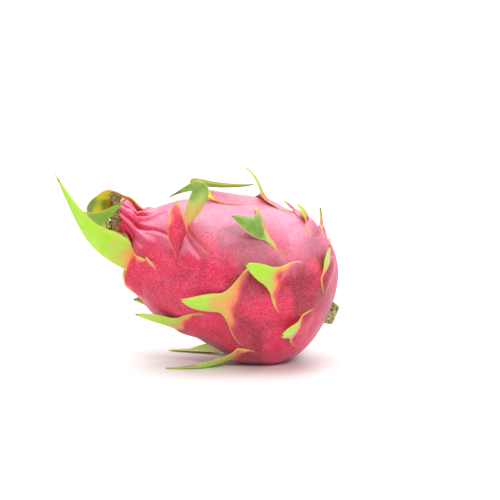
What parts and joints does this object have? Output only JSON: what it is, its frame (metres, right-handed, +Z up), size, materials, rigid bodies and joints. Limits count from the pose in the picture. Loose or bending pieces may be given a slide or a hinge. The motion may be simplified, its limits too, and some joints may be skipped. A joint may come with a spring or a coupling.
{
  "type": "dragon fruit",
  "caption": "Whole dragon fruit lying on its belly, with a tilted oval body, leaf-like scales, a dried flower collar and a cut stem stub.",
  "frame": {"origin": "centre of the flat spot on the belly that the fruit rests on", "axes": "+X towards the stem end along the fruit's length, -X towards the flower end, which is raised; +Z up, away from the resting spot"},
  "size_m": [0.1722, 0.1229, 0.1213],
  "materials": {
    "peel": "waxy, satin, finely mottled deep pink peel with a pale bloom",
    "scale_pink": "satin pink scale with a green rim",
    "scale_lime": "satin lime green scale, pink at its root",
    "scale_green": "satin mid green scale with a pale bloom, pink at its root",
    "scale_yellow": "satin yellow-green scale, orange at its root",
    "collar": "dry, fibrous, matt brown",
    "stub": "dry, woody, matt olive brown"
  },
  "bodies": {
    "root": {"fruit_body": "peel", "flower_scar_collar": "collar", "stem_stub": "stub", "crown_scale_lance": "scale_lime", "crown_scale_hooked": "scale_yellow", "crown_scale_low": "scale_yellow", "crown_scale_under": "scale_yellow", "crown_scale_far": "scale_lime", "shoulder_scale_front": "scale_green", "shoulder_scale_small": "scale_pink", "shoulder_scale_back": "scale_green", "shoulder_scale_far": "scale_lime", "shoulder_scale_under": "scale_lime", "girth_scale_top": "scale_yellow", "girth_scale_front": "scale_green", "girth_scale_low": "scale_lime", "girth_scale_under": "scale_lime", "girth_scale_spike": "scale_lime", "girth_scale_back": "scale_green", "girth_scale_far": "scale_lime", "belly_scale_front": "scale_lime", "belly_scale_back": "scale_lime", "waist_scale_front": "scale_lime", "waist_scale_point": "scale_pink", "waist_scale_back": "scale_green", "waist_scale_far": "scale_lime", "waist_scale_under": "scale_lime", "stem_scale_top": "scale_lime", "stem_scale_dark": "scale_green", "stem_scale_front": "scale_lime", "stem_scale_low": "scale_lime", "stem_scale_back": "scale_lime", "stem_scale_far": "scale_lime"}
  },
  "joints": []
}
